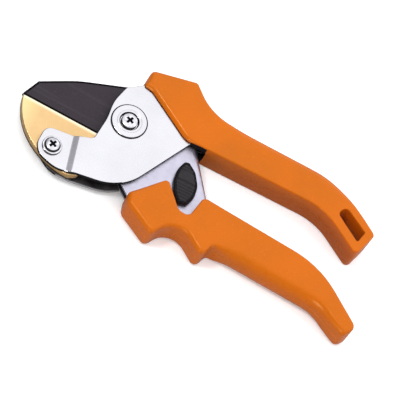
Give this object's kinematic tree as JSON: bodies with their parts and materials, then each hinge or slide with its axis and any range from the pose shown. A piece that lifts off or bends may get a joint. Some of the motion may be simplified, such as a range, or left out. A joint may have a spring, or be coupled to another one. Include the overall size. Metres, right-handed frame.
{
  "type": "anvil pruner",
  "caption": "Hand pruner with a coated blade closing on a brass anvil, moulded grips, a thumb catch and a lanyard slot.",
  "frame": {"origin": "on the pivot axis, at the back face of the pivot nut, in the plane of the handles' back faces", "axes": "+X from the nose to the handle tails along the cutting edge, +Y from the anvil to the blade's spine, +Z out of the front face"},
  "size_m": [0.2039, 0.0901, 0.018],
  "materials": {
    "frame_plate": "bright nickel plate, lightly brushed",
    "anvil_brass": "satin brass",
    "screw_steel": "bright zinc plated steel",
    "spring_steel": "oiled spring wire",
    "grip_orange": "satin moulded orange plastic",
    "blade_coating": "dark non-stick coating",
    "channel_steel": "satin pressed steel",
    "catch_black": "black moulded plastic with ribs"
  },
  "bodies": {
    "anvil_frame": {"front_frame_plate": "frame_plate", "back_frame_plate": "frame_plate", "anvil": "anvil_brass", "anvil_screw": "screw_steel", "anvil_nut": "screw_steel", "pivot_disc": "frame_plate", "pivot_screw": "screw_steel", "pivot_bush": "screw_steel", "pivot_shim_front": "screw_steel", "pivot_shim_back": "screw_steel", "pivot_washer_back": "screw_steel", "pivot_nut": "screw_steel", "frame_spacer_1": "screw_steel", "frame_spacer_2": "screw_steel", "spring_post": "screw_steel", "opening_spring": "spring_steel", "upper_grip": "grip_orange"},
    "blade_lever": {"blade": "blade_coating", "lever_channel": "channel_steel", "blade_rivet_1": "screw_steel", "blade_rivet_2": "screw_steel", "lower_grip": "grip_orange"},
    "catch": {"thumb_catch": "catch_black", "catch_bar": "screw_steel", "catch_rivet": "screw_steel"}
  },
  "joints": [
    {"name": "main_pivot", "type": "hinge", "parent": "anvil_frame", "child": "blade_lever", "pos_m": [0, 0, 0.009], "axis": [0, 0, 1], "range_deg": [-25, 0]},
    {"name": "catch_slide", "type": "slide", "parent": "blade_lever", "child": "catch", "axis": [0.3057, -0.9521, 0], "range_m": [0, 0.002]}
  ]
}
